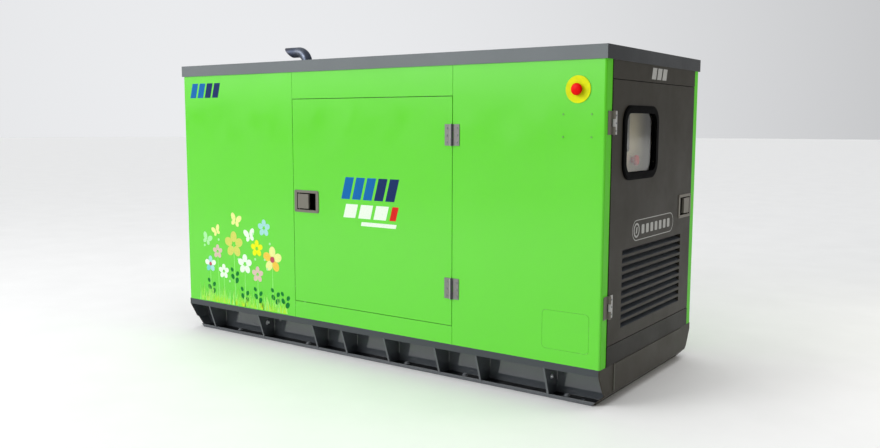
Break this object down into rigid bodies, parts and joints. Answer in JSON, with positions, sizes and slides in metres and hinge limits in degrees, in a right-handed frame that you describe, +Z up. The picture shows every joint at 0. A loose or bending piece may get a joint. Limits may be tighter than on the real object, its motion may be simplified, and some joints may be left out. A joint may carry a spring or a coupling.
{
  "type": "skid-mounted silenced diesel generator",
  "caption": "Silenced diesel generator set on a steel skid: canopy with side doors and a windowed end door, roof exhaust, louvres and a stop button.",
  "frame": {"origin": "centre of the four anchor holes, on the ground", "axes": "+X towards the control end, -Y towards the side with the stop button, +Z up"},
  "size_m": [2.169, 0.941, 1.355],
  "materials": {
    "base_grey": "gloss paint",
    "end_dark": "satin powder coat",
    "bolt_steel": "zinc plated",
    "tank_black": "satin",
    "plastic_black": "satin",
    "canopy_green": "satin powder coat",
    "roof_grey": "satin powder coat",
    "exhaust_steel": "heat-tinted steel",
    "rubber_black": "matt",
    "zinc": "zinc plated",
    "stop_yellow": "gloss",
    "stop_red": "gloss",
    "control_beige": "satin powder coat",
    "control_dark": "satin",
    "engine_blue": "engine enamel",
    "engine_alloy": "cast alloy",
    "engine_dark": "satin",
    "manifold_iron": "bare casting",
    "filter_white": "gloss",
    "belt_rubber": "matt",
    "radiator_black": "matt black",
    "machined_steel": "machined",
    "foam_black": "open-cell foam",
    "latch_grey": "satin coat",
    "window_clear": "clear"
  },
  "bodies": {
    "frame": {"base_rail_front": "base_grey", "base_rail_rear": "base_grey", "base_end_plates": "end_dark", "base_end_covers": "end_dark", "cross_members": "base_grey", "floor_plate": "base_grey", "flange_bolts": "bolt_steel", "fuel_tank": "tank_black", "wall_front_left": "canopy_green", "wall_front_mid": "canopy_green", "wall_front_right": "canopy_green", "wall_rear_panels": "canopy_green", "end_left_panel": "end_dark", "end_header": "end_dark", "end_sill": "end_dark", "door_frame_end": "end_dark", "outlet_cover": "canopy_green", "roof_panel": "roof_grey", "exhaust_tail": "exhaust_steel", "silencer": "exhaust_steel", "door_seals": "rubber_black", "hinge_fixed_leaves": "zinc", "wall_rivets": "bolt_steel", "stop_plate": "stop_yellow", "control_box": "control_beige", "controller": "control_dark", "engine_block": "engine_blue", "engine_head": "engine_alloy", "engine_sump": "engine_dark", "manifolds": "manifold_iron", "air_cleaner": "plastic_black", "filters": "filter_white", "starter_motor": "engine_dark", "charging_alternator": "engine_alloy", "drive_belt": "belt_rubber", "radiator": "radiator_black", "generator_housing": "engine_blue", "engine_mounts": "engine_dark", "battery": "plastic_black"},
    "fuel_cap": {"fuel_cap": "plastic_black"},
    "stop_button": {"stop_button": "stop_red"},
    "panel_stop": {"panel_stop": "stop_red"},
    "key_switch": {"key_switch": "control_dark"},
    "breaker": {"breaker_lever": "control_dark"},
    "crank_train": {"crank_train": "machined_steel"},
    "cooling_fan": {"cooling_fan": "filter_white"},
    "alternator_pulley": {"alternator_pulley": "machined_steel"},
    "door_front": {"door_front_panel": "canopy_green", "door_front_foam": "foam_black", "door_front_fittings": "zinc"},
    "latch_front": {"latch_front_paddle": "latch_grey"},
    "door_rear": {"door_rear_panel": "canopy_green", "door_rear_foam": "foam_black", "door_rear_fittings": "zinc"},
    "latch_rear": {"latch_rear_paddle": "latch_grey"},
    "door_end": {"door_end_panel": "end_dark", "door_end_fittings": "zinc", "window_gasket": "rubber_black", "window_glass": "window_clear"},
    "latch_end": {"latch_end_paddle": "latch_grey"}
  },
  "joints": [
    {"name": "door_front_swing", "type": "hinge", "parent": "frame", "child": "door_front", "pos_m": [0.459, -0.459, 0.654], "axis": [0, 0, 1], "range_deg": [0, 110]},
    {"name": "latch_front_pull", "type": "hinge", "parent": "door_front", "child": "latch_front", "pos_m": [-0.335, -0.448, 0.654], "axis": [0, 0, -1], "range_deg": [0, 35], "stiffness_Nm_per_rad": 0.6, "springref_deg": -8.59},
    {"name": "door_rear_swing", "type": "hinge", "parent": "frame", "child": "door_rear", "pos_m": [0.459, 0.459, 0.654], "axis": [0, 0, -1], "range_deg": [0, 110]},
    {"name": "latch_rear_pull", "type": "hinge", "parent": "door_rear", "child": "latch_rear", "pos_m": [-0.335, 0.448, 0.654], "axis": [0, 0, 1], "range_deg": [0, 35], "stiffness_Nm_per_rad": 0.6, "springref_deg": -8.59},
    {"name": "door_end_swing", "type": "hinge", "parent": "frame", "child": "door_end", "pos_m": [1.0835, -0.4035, 0.654], "axis": [0, 0, -1], "range_deg": [0, 110]},
    {"name": "latch_end_pull", "type": "hinge", "parent": "door_end", "child": "latch_end", "pos_m": [1.0725, 0.372, 0.654], "axis": [0, 0, 1], "range_deg": [0, 35], "stiffness_Nm_per_rad": 0.6, "springref_deg": -8.59},
    {"name": "stop_push", "type": "slide", "parent": "frame", "child": "stop_button", "axis": [0, 1, 0], "range_m": [0, 0.006]},
    {"name": "fuel_cap_turn", "type": "hinge", "parent": "frame", "child": "fuel_cap", "pos_m": [0.4, -0.29, 0.28], "axis": [0, 0, 1], "range_deg": [0, 90]},
    {"name": "panel_stop_push", "type": "slide", "parent": "frame", "child": "panel_stop", "axis": [-1, 0, 0], "range_m": [0, 0.006]},
    {"name": "key_turn", "type": "hinge", "parent": "frame", "child": "key_switch", "pos_m": [1.022, -0.29, 0.82], "axis": [1, 0, 0], "range_deg": [-45, 45]},
    {"name": "breaker_throw", "type": "hinge", "parent": "frame", "child": "breaker", "pos_m": [1.008, -0.215, 0.815], "axis": [0, 1, 0], "range_deg": [-50, 0]},
    {"name": "crank_spin", "type": "hinge", "parent": "frame", "child": "crank_train", "pos_m": [0, 0, 0.4], "axis": [1, 0, 0], "continuous": true},
    {"name": "fan_spin", "type": "hinge", "parent": "frame", "child": "cooling_fan", "pos_m": [-0.5, 0, 0.61], "axis": [1, 0, 0], "continuous": true},
    {"name": "alternator_spin", "type": "hinge", "parent": "frame", "child": "alternator_pulley", "pos_m": [-0.45, -0.19, 0.54], "axis": [1, 0, 0], "continuous": true}
  ],
  "couplings": [
    {"joint": "fan_spin", "follows": "crank_spin", "ratio": 1.25},
    {"joint": "alternator_spin", "follows": "crank_spin", "ratio": 2.2059}
  ]
}
